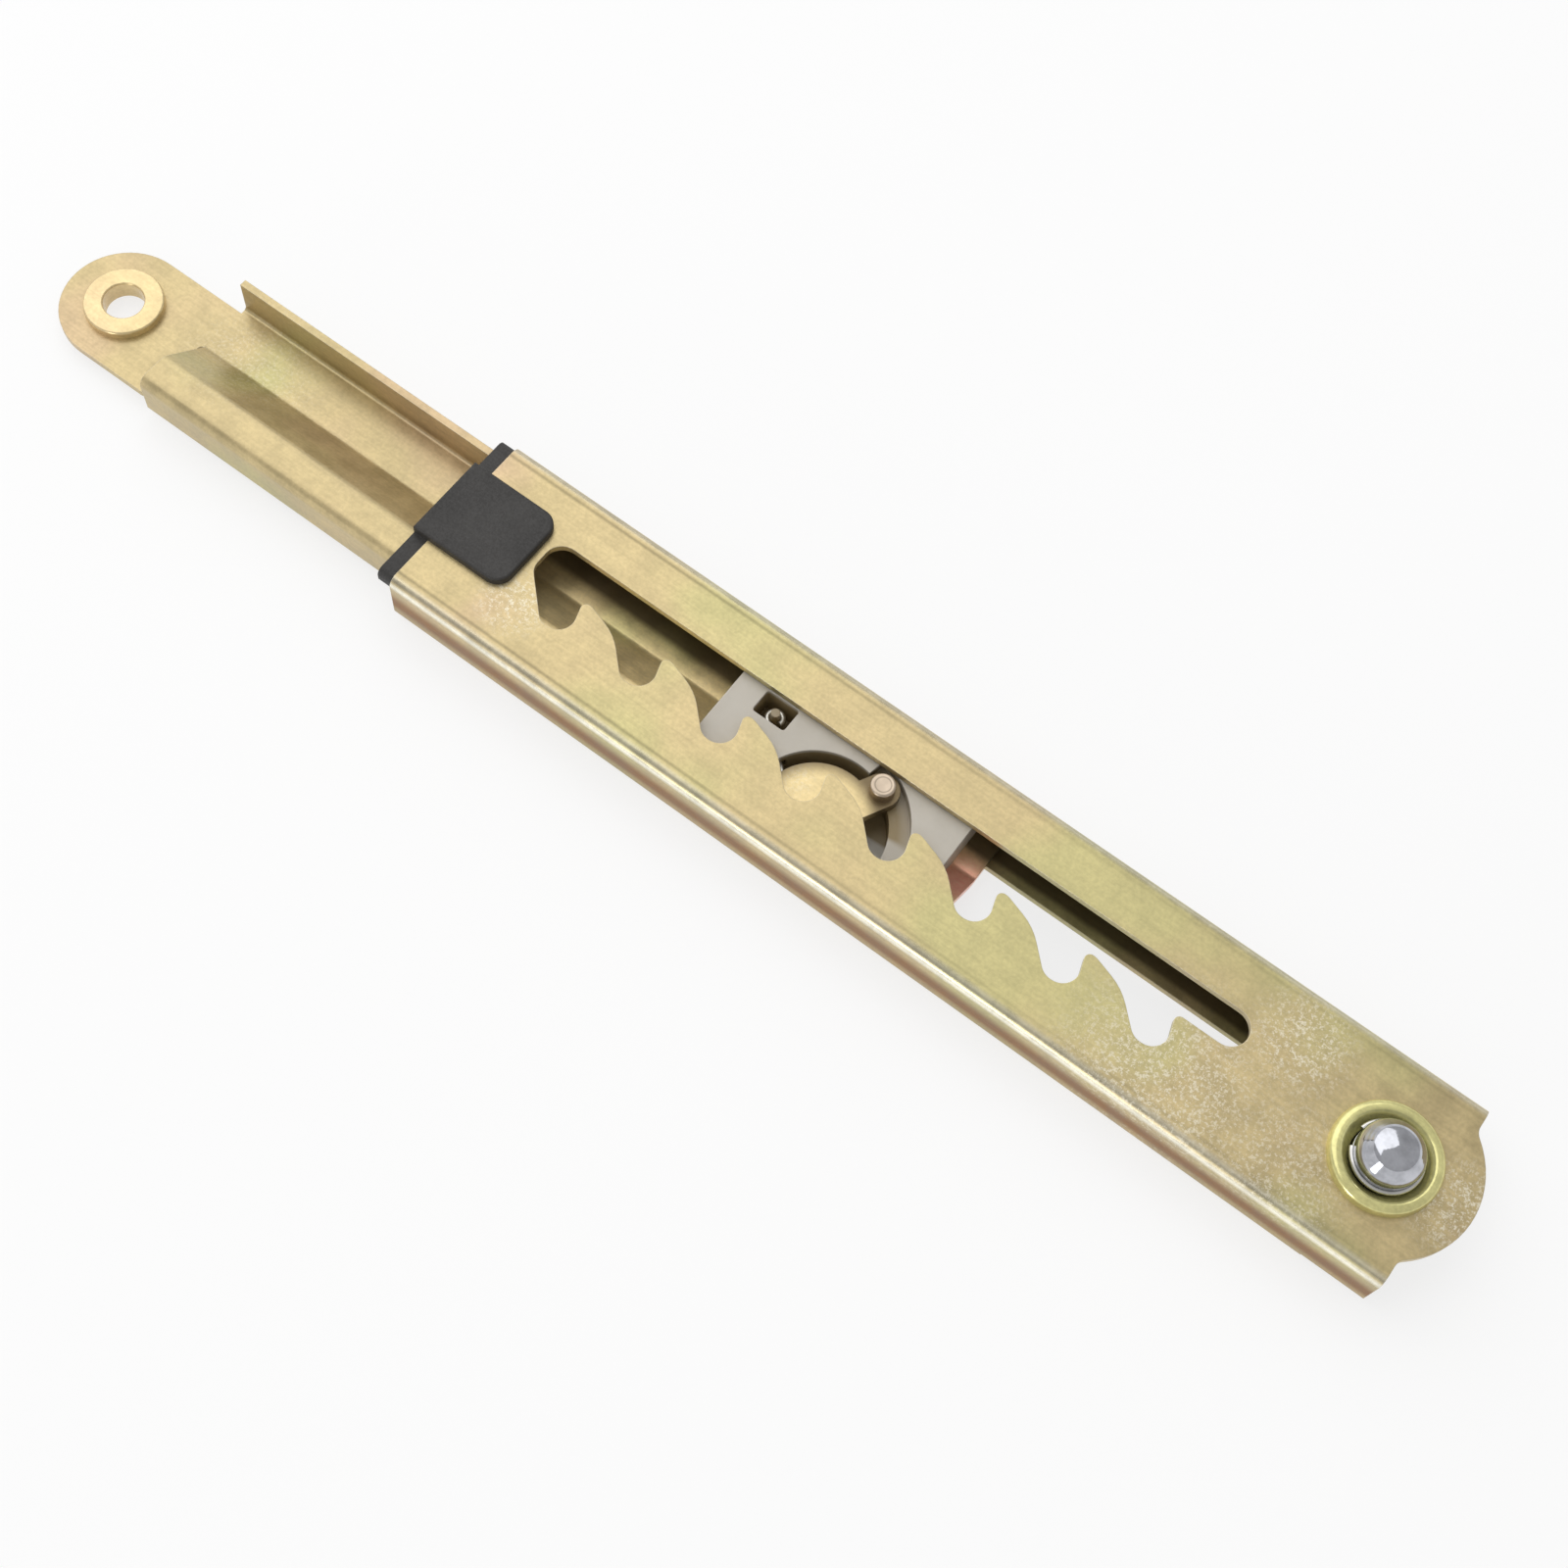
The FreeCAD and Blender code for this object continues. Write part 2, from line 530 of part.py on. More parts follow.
# Pivot: flanged bush swaged in the eye, domed sleeve nut that turns in it, snap ring

bush_rear = web_back - size["bush_back"]
bore = size["nut_radius"] + size["nut_clearance"]
ring_top = depth + size["bush_height"]
bush = turned("pivot_bush", [
    (bore, bush_rear, 0), (size["bush_swage"], bush_rear, 1.2), (size["bush_swage"], web_back, 0),
    (size["eye_radius"], web_back, 0), (size["eye_radius"], depth, 0), (size["bush_flange"], depth, 0),
    (size["bush_flange"] - 0.3, ring_top, 1.1), (size["bush_mouth"], ring_top, 0.7),
    (bore, depth - size["bush_dish"], 0.6)])

nut_top = depth + size["nut_reach"]
nut_shoulder = bush_rear - size["nut_clearance"]
nut_r = size["nut_radius"]
drill_tip = size["thread_radius"] / math.tan(math.radians(59))
nut_blank = turned("pivot_nut_blank", [
    (0, size["thread_depth"] + drill_tip, 0), (size["thread_radius"], size["thread_depth"], 0),
    (size["thread_radius"], 0, 0), (size["nut_boss"], 0, 0.8), (size["nut_boss"], nut_shoulder, 0.5),
    (nut_r, nut_shoulder, 0), (nut_r, nut_top - size["nut_dome"], size["nut_dome_round"]),
    (size["nut_crown"], nut_top - size["nut_crown_height"], size["nut_crown_round"]), (0, nut_top, 0)])
ring_level = "Sizes.channel_depth + Sizes.ring_rise"
ring_radius = "Sizes.nut_radius + Sizes.ring_seat"
groove = primitive("Torus", "ring_groove",
                   {"Radius1": ring_radius, "Radius2": "Sizes.ring_wire + Sizes.ring_clearance"}, z=ring_level)
nut = combine("Cut", "pivot_nut", [nut_blank, groove])
snap_ring = primitive("Torus", "snap_ring",
                      {"Radius1": ring_radius, "Radius2": "Sizes.ring_wire", "Angle3": "360 - Sizes.ring_opening"},
                      z=ring_level, turn=20)


# Rail's bush: plain flanged bush riveted into the rail's eye

rail_bush_top = size["rail_floor"] + size["rail_bush_rise"]
rail_bush_rear = size["rail_floor"] - size["rail_bush_back"]
rail_hole = size["rail_eye_radius"]
rail_bush = turned("rail_end_bush", [
    (size["rail_bush_bore"], rail_bush_rear, 0.3), (rail_hole + size["rail_bush_lip"], rail_bush_rear, 0.5),
    (rail_hole + size["rail_bush_lip"], size["rail_floor"], 0), (rail_hole, size["rail_floor"], 0),
    (rail_hole, plate_top, 0), (size["rail_bush_flange"], plate_top, 0),
    (size["rail_bush_flange"], rail_bush_top, 0.5), (size["rail_bush_bore"], rail_bush_top, 0.4)])
rail_bush.setExpression("Placement.Base.x", "Sizes.rail_eye_x")


# Latch block: moulded block in the rail's window, with the lever's pocket and the spring's pocket

block_y0 = size["rail_sheet"] - rail_plain + size["block_clearance"]
block = new_body("latch_block_blank")
block_round = size["block_round"]
block_rear = size["rail_floor"] + size["window_rebate"]
block_section = [(block_y0, plate_top, 2 * block_round), (window_y0, plate_top, 0), (window_y0, block_rear, 0),
                 (window_y1, block_rear, 0), (window_y1, block_top, block_round),
                 (block_y0, block_top, block_round)]
block_sketch = new_sketch(block, "block_section", "YZ_Plane", rounded_outline(block_section),
                          "Sizes.block_start")
pad(block, "block_body", block_sketch, "Sizes.block_length")

pivot_at = {"x": "Sizes.latch_pivot_x", "y": "Sizes.latch_pivot_y"}
arch_round = size["lever_back"] + size["arch_gap"]
arch_span = math.sqrt(arch_round ** 2 - arch_side ** 2)
arch_left = V(px - arch_span, py + arch_side, 0)
arch_right = V(px + arch_span, py + arch_side, 0)
arch = [Part.Arc(arch_left, V(px, py - arch_round, 0), arch_right), Part.LineSegment(arch_right, arch_left)]
pocket(block, "lever_pocket", new_sketch(block, "arch_outline", "XY_Plane", arch, "Sizes.pocket_floor"),
       "Sizes.channel_depth", backwards=True)
hook_l = size["hook_pocket_length"] / 2
hook_w = size["hook_pocket_width"] / 2
hook_r = size["hook_pocket_round"]
hook_pocket = [(hook_x - hook_l, hook_y - hook_w, hook_r), (hook_x + hook_l, hook_y - hook_w, hook_r),
               (hook_x + hook_l, hook_y + hook_w, hook_r), (hook_x - hook_l, hook_y + hook_w, hook_r)]
hook_sketch = new_sketch(block, "hook_outline", "XY_Plane", rounded_outline(hook_pocket), "Sizes.pocket_floor")
pocket(block, "hook_pocket", hook_sketch, "Sizes.channel_depth", backwards=True)
sweep_margin = math.degrees(math.asin((size["lever_eye"] + size["sweep_gap"]) / latch_arm))
swing_pocket = primitive("Cylinder", "swing_pocket",
                         {"Radius": "Sizes.latch_arm + Sizes.lever_eye + Sizes.sweep_gap",
                          "Height": "Sizes.channel_depth"},
                         z="Sizes.lever_base - Sizes.arch_side_gap",
                         turn=raised_angle - latch_swing - sweep_margin, **pivot_at)
swing_pocket.Angle = latch_swing + 2 * sweep_margin
rivet_hole = primitive("Cylinder", "rivet_hole", {"Radius": "Sizes.rivet_radius", "Height": "Sizes.channel_depth"},
                       **pivot_at)
head_recess = primitive("Cylinder", "head_recess",
                        {"Radius": "Sizes.rivet_head",
                         "Height": "Sizes.rail_floor + Sizes.window_rebate + Sizes.head_thick"},
                        **pivot_at)
loop = size["spring_loop"]
wire = size["wire_radius"]
hook_round = size["hook_post"] + wire


def polar(x, y, radius, angle):
    return V(x + radius * math.cos(angle), y + radius * math.sin(angle), spring_level)


hook_distance = math.hypot(hook_x - px, hook_y - py)
leave = math.atan2(hook_y - py, hook_x - px) + math.acos((loop - hook_round) / hook_distance)
loop_start = polar(px, py, loop, leave)
hook_start = polar(hook_x, hook_y, hook_round, leave)
fixed_leg = hook_start - loop_start
side_step = V(fixed_leg.y, -fixed_leg.x, 0).normalize() * size["spring_groove"]
leg_groove = primitive("Box", "leg_groove",
                       {"Width": "2 * Sizes.spring_groove", "Height": "4 * Sizes.wire_radius"})
leg_groove.Length = fixed_leg.Length
leg_groove.Placement = FreeCAD.Placement(loop_start + side_step - V(0, 0, 2 * wire),
                                         FreeCAD.Rotation(V(1, 0, 0), fixed_leg))
hook_post = primitive("Cylinder", "hook_post",
                      {"Radius": "Sizes.hook_post",
                       "Height": "Sizes.block_top - Sizes.pocket_floor - Sizes.hook_post_drop"},
                      z="Sizes.pocket_floor", x="Sizes.hook_pocket_x", y="-Sizes.hook_pocket_offset")
block_cut = combine("Cut", "latch_block_cut",
                    [block, swing_pocket, rivet_hole, head_recess, leg_groove, block_screws])
block_done = combine("Fuse", "latch_block", [block_cut, hook_post])


# Latch rivet, lever, pin and spring

rivet_level = "Sizes.rail_floor + Sizes.window_rebate"
rivet_shank = primitive("Cylinder", "rivet_shank",
                        {"Radius": "Sizes.rivet_radius", "Height": "Sizes.lever_top - (" + rivet_level + ")"},
                        z=rivet_level, **pivot_at)
rivet_base = primitive("Cylinder", "rivet_base", {"Radius": "Sizes.rivet_head", "Height": "Sizes.head_thick"},
                       z=rivet_level, **pivot_at)
lever_rivet = combine("Fuse", "lever_rivet", [rivet_shank, rivet_base])

lever_back = primitive("Cylinder", "lever_back",
                       {"Radius": "Sizes.lever_back", "Height": "Sizes.lever_thick",
                        "Angle": "Sizes.lever_back_arc"},
                       z="Sizes.lever_base", turn=raised_angle, **pivot_at)
lever_boss = primitive("Cylinder", "lever_boss", {"Radius": "Sizes.lever_boss", "Height": "Sizes.lever_thick"},
                       z="Sizes.lever_base", **pivot_at)
lever_eye = primitive("Cylinder", "lever_eye", {"Radius": "Sizes.lever_eye", "Height": "Sizes.lever_thick"},
                      x="Sizes.raised_x", y="Sizes.raised_y", z="Sizes.lever_base")
lever_arm = primitive("Box", "lever_arm", {"Length": "Sizes.latch_arm", "Width": "2 * Sizes.lever_eye",
                                           "Height": "Sizes.lever_thick"})
arm_turn = FreeCAD.Rotation(V(0, 0, 1), raised_angle)
lever_arm.Placement = FreeCAD.Placement(latch_pivot + arm_turn.multVec(V(0, -size["lever_eye"], 0)), arm_turn)
lever_arm.setExpression("Placement.Base.z", "Sizes.lever_base")
lever_blank = combine("Fuse", "lever_blank", [lever_back, lever_boss, lever_eye, lever_arm])
lever_bore = primitive("Cylinder", "lever_bore", {"Radius": "Sizes.rivet_radius + Sizes.rivet_clearance",
                                                  "Height": "Sizes.channel_depth"}, **pivot_at)
pin_hole = primitive("Cylinder", "pin_hole", {"Radius": "Sizes.pin_shank", "Height": "Sizes.channel_depth"},
                     x="Sizes.raised_x", y="Sizes.raised_y")
latch_lever = combine("Cut", "latch_lever", [lever_blank, lever_bore, pin_hole])

pin_top = depth + size["pin_proud"]
latch_pin = turned("latch_pin", [
    (0, lever_base, 0), (size["pin_shank"], lever_base, 0), (size["pin_shank"], lever_top, 0),
    (size["pin_radius"], lever_top, 0), (size["pin_radius"], pin_top, 0.5), (0, pin_top, 0)])
latch_pin.setExpression("Placement.Base.x", "Sizes.raised_x")
latch_pin.setExpression("Placement.Base.y", "Sizes.raised_y")

# The spring's hook goes round the block's post, its loop round the rivet, its free leg under the lever
loop_turn = math.radians(size["spring_loop_arc"])
hook_turn = math.radians(size["spring_hook_arc"])
loop_end = polar(px, py, loop, leave + loop_turn)
free_way = V(-math.sin(leave + loop_turn), math.cos(leave + loop_turn), 0)
free_end = loop_end + free_way * size["spring_leg"]
hook_end = polar(hook_x, hook_y, hook_round, leave - hook_turn)
spring_path = Part.Wire([
    Part.Arc(hook_end, polar(hook_x, hook_y, hook_round, leave - hook_turn / 2), hook_start).toShape(),
    Part.LineSegment(hook_start, loop_start).toShape(),
    Part.Arc(loop_start, polar(px, py, loop, leave + loop_turn / 2), loop_end).toShape(),
    Part.LineSegment(loop_end, free_end).toShape()])
hook_edge = spring_path.Edges[0]
wire_way = hook_edge.tangentAt(hook_edge.FirstParameter)
wire_section = Part.Wire([Part.Circle(hook_end, wire_way, wire).toShape()])
spring = doc.addObject("Part::Feature", "latch_spring")
spring.Label = "latch_spring"
spring.Shape = spring_path.makePipeShell([wire_section], True, True)


# Guide pads: moulded pads on the rail's flanges that run on the channel's inner sides

pad_gap = "Sizes.channel_width / 2 - Sizes.channel_sheet - Sizes.pad_clearance"
pad_level = "Sizes.rail_floor + Sizes.rail_sheet"
plain_pad = primitive("Box", "plain_pad", {"Length": "Sizes.pad_length", "Height": "Sizes.pad_height",
                                           "Width": pad_gap + " - Sizes.rail_plain"},
                      x="Sizes.block_start", y="-(" + pad_gap + ")", z=pad_level)
toothed_pad = primitive("Box", "toothed_pad", {"Length": "Sizes.pad_length", "Height": "Sizes.pad_height",
                                               "Width": pad_gap + " - Sizes.rail_toothed"},
                        x="Sizes.block_start", y="Sizes.rail_toothed", z=pad_level)
pad_pair = combine("Fuse", "pad_pair", [plain_pad, toothed_pad])
guide_pads = doc.addObject("Part::Fillet", "guide_pads")
guide_pads.Base = pad_pair
guide_pads.Edges = [(number, size["pad_round"], size["pad_round"])
                    for number, edge in enumerate(pad_pair.Shape.Edges, start=1) if edge.BoundBox.YLength > 1e-6]
guide_pads.Label = "guide_pads"

doc.recompute()

nodes = [channel, cap, bush, nut, snap_ring, inner_rail, rail_bush, guide_pads, block_done, block_screws,
         lever_rivet, spring, latch_lever, latch_pin]

for item in doc.Objects:
    if "Invalid" in item.State or "Error" in item.State:
        raise RuntimeError(item.Label + " failed: " + str(item.State))
for item in nodes:
    if item.Shape.isNull() or not item.Shape.isValid() or not item.Shape.Solids:
        raise RuntimeError(item.Label + " has no valid solid")

os.makedirs("parts", exist_ok=True)
for item in nodes:
    item.Shape.exportStep("parts/" + item.Label + ".step")
    box = item.Shape.BoundBox
    print(f"{item.Label:18s} solids {len(item.Shape.Solids)}  volume {item.Shape.Volume:9.1f}  "
          f"x {box.XMin:7.2f} {box.XMax:7.2f}  y {box.YMin:7.2f} {box.YMax:7.2f}  "
          f"z {box.ZMin:6.2f} {box.ZMax:6.2f}")
print(f"latch pivot {px:.3f} {py:.3f}  arm {latch_arm:.3f}  raised {raised_angle:.2f}  swing {latch_swing:.2f}")
print(f"pin raised {raised.x:.3f} {raised.y:.3f}  slot end {slot_end:.2f}")
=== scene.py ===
import math

import bmesh
import bpy
import numpy as np
from mathutils import Matrix, Vector


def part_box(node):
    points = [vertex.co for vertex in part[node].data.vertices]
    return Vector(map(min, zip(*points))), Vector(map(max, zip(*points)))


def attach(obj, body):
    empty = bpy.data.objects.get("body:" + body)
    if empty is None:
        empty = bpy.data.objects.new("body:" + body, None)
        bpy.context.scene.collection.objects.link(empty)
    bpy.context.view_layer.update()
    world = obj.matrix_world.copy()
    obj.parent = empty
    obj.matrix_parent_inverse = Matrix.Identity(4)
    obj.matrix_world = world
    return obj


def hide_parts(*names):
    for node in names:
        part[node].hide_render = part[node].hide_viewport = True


# Ratchet bracket for a drop leaf table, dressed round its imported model. The pieces follow in the order
# in which the bracket is put together: channel and pivot, mouth cap, rail, latch, then the studio.
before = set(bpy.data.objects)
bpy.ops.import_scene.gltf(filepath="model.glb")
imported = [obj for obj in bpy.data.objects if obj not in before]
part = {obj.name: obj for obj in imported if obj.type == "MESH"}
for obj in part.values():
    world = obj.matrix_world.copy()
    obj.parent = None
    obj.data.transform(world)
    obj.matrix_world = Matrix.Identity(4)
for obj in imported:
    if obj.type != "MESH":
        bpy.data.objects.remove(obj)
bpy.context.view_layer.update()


# Channel: 1.5 mm mild steel strip, pierced in a press, folded to a C and yellow zinc plated. The passivated
# plate is satin gold that drifts to rose and green, with a pale bloom where water dried near the eye.
ZINC_GOLD = (0.585, 0.468, 0.245)
ZINC_ROSE = (0.640, 0.450, 0.300)
ZINC_GREEN = (0.520, 0.500, 0.220)
# Painted shade down the channel's sides below the folds, lighter again near their bottom.
FLANK_SHADE_BROWN = (0.26, 0.118, 0.025)
ZINC_BLOOM = (0.84, 0.78, 0.62)
# Pale colour of worn edges, and of the painted highlight along the folds.
ZINC_WEAR_AND_HIGHLIGHT = (0.98, 0.94, 0.79)
# Painted shade: brown laid inside the channel, along the rail's plain side and over the lever's back.
PAINTED_SHADE_BROWN = (0.10, 0.068, 0.033)
ZINC_METAL = 0.6
ZINC_SMOOTH, ZINC_DULL = 0.28, 0.40
EDGE_RADIUS = 0.00022

# Middle of each fold's bend, the web's back, the sides' and lips' inner faces, and the lips' edges.
FOLD_SIDE, FOLD_LEVEL = 0.0168, 0.0108
WEB_BACK, SIDE_INSIDE, LIP_FRONT, LIP_EDGE = 0.0115, 0.0175, 0.0015, 0.0082

# Lines along each fold: how far across it they lie from its middle, their half width and their strength.
# Painted reflections of dark surroundings, laid as dark lines along the folds.
OUTER_DARK_REFLECTION = (-0.0027, 0.0006, 0.38)
INNER_DARK_REFLECTION = (-0.0004, 0.0008, 0.30)
# A glossier, more metallic strip along each fold, with a painted highlight in its colour.
BEND_GLOSS_AND_HIGHLIGHT = (0.0014, 0.0014, 1.0)
WEB_GLOSS_AND_HIGHLIGHT = (-0.0008, 0.0015, 0.45)

# Dried bloom on the web: its centre, its reach and its strength.
CHANNEL_BLOOM = [((0.022, -0.009, 0.013), 0.013, 0.90), ((0.038, 0.012, 0.013), 0.026, 0.75),
                 ((0.014, 0.013, 0.013), 0.018, 0.60), ((-0.014, 0.0, 0.013), 0.012, 0.85),
                 ((0.183, 0.008, 0.013), 0.009, 0.80)]


def add_node(tree, kind, inputs, **settings):
    """One shader node. Each input is a socket to link from, or a value to set."""
    made = tree.nodes.new(kind)
    for name, value in settings.items():
        setattr(made, name, value)
    for name, value in inputs.items():
        if isinstance(value, bpy.types.NodeSocket):
            tree.links.new(value, made.inputs[name])
        else:
            made.inputs[name].default_value = value
    return made


def arithmetic(tree, operation, first, *others):
    """Maths on numbers and sockets, taken in turn from the first on."""
    for other in others:
        first = add_node(tree, "ShaderNodeMath", {0: first, 1: other}, operation=operation).outputs[0]
    return first


def unsigned(tree, value):
    """The value without its sign."""
    return add_node(tree, "ShaderNodeMath", {0: value}, operation="ABSOLUTE").outputs[0]


def inverse(tree, mask):
    """0 where the mask is 1 and 1 where it is 0."""
    return arithmetic(tree, "SUBTRACT", 1.0, mask)


def spread(tree, value, low, high, start, end):
    """Maps a value's run from low to high onto start to end, smoothly and clamped."""
    inputs = {"Value": value, "From Min": low, "From Max": high, "To Min": start, "To Max": end}
    return add_node(tree, "ShaderNodeMapRange", inputs, interpolation_type="SMOOTHSTEP").outputs["Result"]


def band(tree, value, middle, reach, strength):
    """Smooth ridge over a value: the strength at its middle, nothing beyond its reach."""
    away = unsigned(tree, arithmetic(tree, "SUBTRACT", value, middle))
    return spread(tree, away, reach, 0.0, 0.0, strength)


def split(tree, place):
    """The three sockets X, Y and Z of a place."""
    return add_node(tree, "ShaderNodeSeparateXYZ", {0: place}).outputs


def mapped(tree, place, shift=(0.0, 0.0, 0.0), scale=(1.0, 1.0, 1.0)):
    """Place scaled along each axis, then shifted. A pattern runs long along the smallest scale."""
    inputs = {"Vector": place, "Location": shift, "Scale": scale}
    return add_node(tree, "ShaderNodeMapping", inputs).outputs[0]


def length(tree, vector):
    """Length of a vector."""
    return add_node(tree, "ShaderNodeVectorMath", {0: vector}, operation="LENGTH").outputs["Value"]


def patch(tree, place, centre, reach, strength):
    """Round soft patch about a point: the strength within a fifth of its reach, nothing beyond it."""
    away = length(tree, mapped(tree, place, shift=tuple(-value for value in centre)))
    return spread(tree, away, reach, reach * 0.2, 0.0, strength)


def grain(tree, place, scale, detail, roughness):
    """Noise over the surface: its features are about one over the scale, in metres, across."""
    inputs = {"Vector": place, "Scale": scale, "Detail": detail, "Roughness": roughness}
    return add_node(tree, "ShaderNodeTexNoise", inputs).outputs["Fac"]


def blend_colour(tree, factor, under, over):
    """Colour that goes from under to over with the factor."""
    under, over = (value if isinstance(value, bpy.types.NodeSocket) else (*value, 1.0)
                   for value in (under, over))
    return add_node(tree, "ShaderNodeMix", {0: factor, 6: under, 7: over}, data_type="RGBA").outputs[2]


def scaled_colour(tree, colour, shade):
    """Colour made lighter or darker by a factor."""
    return add_node(tree, "ShaderNodeVectorMath", {0: colour, "Scale": shade}, operation="SCALE").outputs[0]


def new_finish(name):
    """Empty material: its tree, its shader and the piece's own coordinates in metres."""
    material = bpy.data.materials.new(name)
    material.use_nodes = True
    tree = material.node_tree
    shader = tree.nodes["Principled BSDF"]
    place = tree.nodes.new("ShaderNodeTexCoord").outputs["Object"]
    return material, tree, shader, place


def rounded_normal(tree, radius):
    """Normal that turns smoothly over sharp edges."""
    return add_node(tree, "ShaderNodeBevel", {"Radius": radius}, samples=6).outputs["Normal"]


def edge_wear(tree, rounded):
    """Mask that is 1 where the rounded normal leaves the face's own."""
    facing = tree.nodes.new("ShaderNodeNewGeometry").outputs["Normal"]
    alike = add_node(tree, "ShaderNodeVectorMath", {0: rounded, 1: facing}, operation="DOT_PRODUCT")
    return spread(tree, alike.outputs["Value"], 0.995, 0.80, 0.0, 1.0)


def add_relief(tree, shader, height, rounded, strength, depth):
    """Fine relief on a surface, over its rounded normal."""
    inputs = {"Height": height, "Normal": rounded, "Strength": strength, "Distance": depth}
    bump = add_node(tree, "ShaderNodeBump", inputs)
    tree.links.new(bump.outputs["Normal"], shader.inputs["Normal"])


def fold_painted_light(tree, place):
    """Painted light along the channel's folds. The distance across a fold is |y| - z, taken from the middle
    of its bend: below 0 on the web, above 0 on the side. Gives masks of painted dark reflections, of a
    glossier strip with a painted highlight, and of painted shade down the sides."""
    x, y, z = split(tree, place)
    side = unsigned(tree, y)
    across = arithmetic(tree, "SUBTRACT", side, FOLD_SIDE, arithmetic(tree, "SUBTRACT", z, FOLD_LEVEL))
    front = spread(tree, z, 0.0045, 0.0065, 0.0, 1.0)
    toward_mouth = spread(tree, x, 0.05, 0.17, 0.35, 1.0)
    dark_reflection = arithmetic(tree, "MULTIPLY", band(tree, across, *OUTER_DARK_REFLECTION), toward_mouth)
    dark_reflection = arithmetic(tree, "MAXIMUM", dark_reflection, band(tree, across, *INNER_DARK_REFLECTION))
    gloss_and_highlight = arithmetic(tree, "MAXIMUM", band(tree, across, *BEND_GLOSS_AND_HIGHLIGHT),
                          band(tree, across, *WEB_GLOSS_AND_HIGHLIGHT))
    flank_shade = arithmetic(tree, "MULTIPLY", spread(tree, side, 0.0180, 0.0187, 0.0, 1.0),
                       spread(tree, z, 0.0102, 0.0060, 0.0, 1.0),
                       spread(tree, z, 0.0026, 0.0050, 0.35, 1.0))
    return arithmetic(tree, "MULTIPLY", dark_reflection, front), arithmetic(tree, "MULTIPLY", gloss_and_highlight, front), flank_shade


def channel_painted_shade(tree, place):
    """Mask of painted shade over the channel's inside: behind the web, between the sides, and on the lips but
    for their edges and backs."""
    y, z = split(tree, place)[1:]
    side = unsigned(tree, y)
    inside = arithmetic(tree, "MULTIPLY", spread(tree, z, WEB_BACK + 0.00015, WEB_BACK - 0.0002, 0.0, 0.8),
                        spread(tree, side, SIDE_INSIDE + 0.0004, SIDE_INSIDE + 0.0001, 0.0, 1.0))
    lip_edge = arithmetic(tree, "MULTIPLY", spread(tree, z, LIP_FRONT + 0.0015, LIP_FRONT + 0.0005, 0.0, 1.0),
                          spread(tree, side, LIP_EDGE + 0.0016, LIP_EDGE + 0.0002, 0.0, 1.0))
    back = spread(tree, z, 0.0010, 0.0004, 0.0, 1.0)
    return arithmetic(tree, "MULTIPLY", inside, inverse(tree, arithmetic(tree, "MAXIMUM", lip_edge, back)))


def zinc_colour(tree, place, rose, green, folded):
    """Gold that drifts to green and rose in patches a few centimetres across. On the folded channel the
    green gathers on the toothed side and toward the eye."""
    drift = grain(tree, place, 22.0, 2.5, 0.55)
    if folded:
        x, y = split(tree, place)[:2]
        drift = arithmetic(tree, "ADD", drift, spread(tree, y, -0.016, 0.016, -0.035, 0.035),
                           spread(tree, x, 0.09, 0.0, 0.0, 0.05))
    colour = blend_colour(tree, spread(tree, drift, 0.50, 0.66, 0.0, green), ZINC_GOLD, ZINC_GREEN)
    return blend_colour(tree, spread(tree, drift, 0.46, 0.32, 0.0, rose), colour, ZINC_ROSE)


def zinc_shade(tree, place, mottle, streaks, tone):
    """Lightness of the plate: its tone, varied by a cloudy mottle, rolled streaks and a fine speckle."""
    speckle = grain(tree, place, 1400.0, 2.0, 0.6)
    return arithmetic(tree, "MULTIPLY", spread(tree, mottle, 0.30, 0.70, 0.87, 1.07),
                      spread(tree, streaks, 0.25, 0.75, 0.93, 1.04),
                      spread(tree, speckle, 0.30, 0.70, 0.93, 1.05), tone)


def bloom_flecks(tree, place, spots):
    """Mask of small dried flecks, gathered in soft round spots."""
    flecks = spread(tree, grain(tree, place, 1500.0, 4.0, 0.8), 0.50, 0.60, 0.0, 1.0)
    gathered = arithmetic(tree, "MAXIMUM", *(patch(tree, place, *spot) for spot in spots))
    return arithmetic(tree, "MULTIPLY", gathered, flecks)


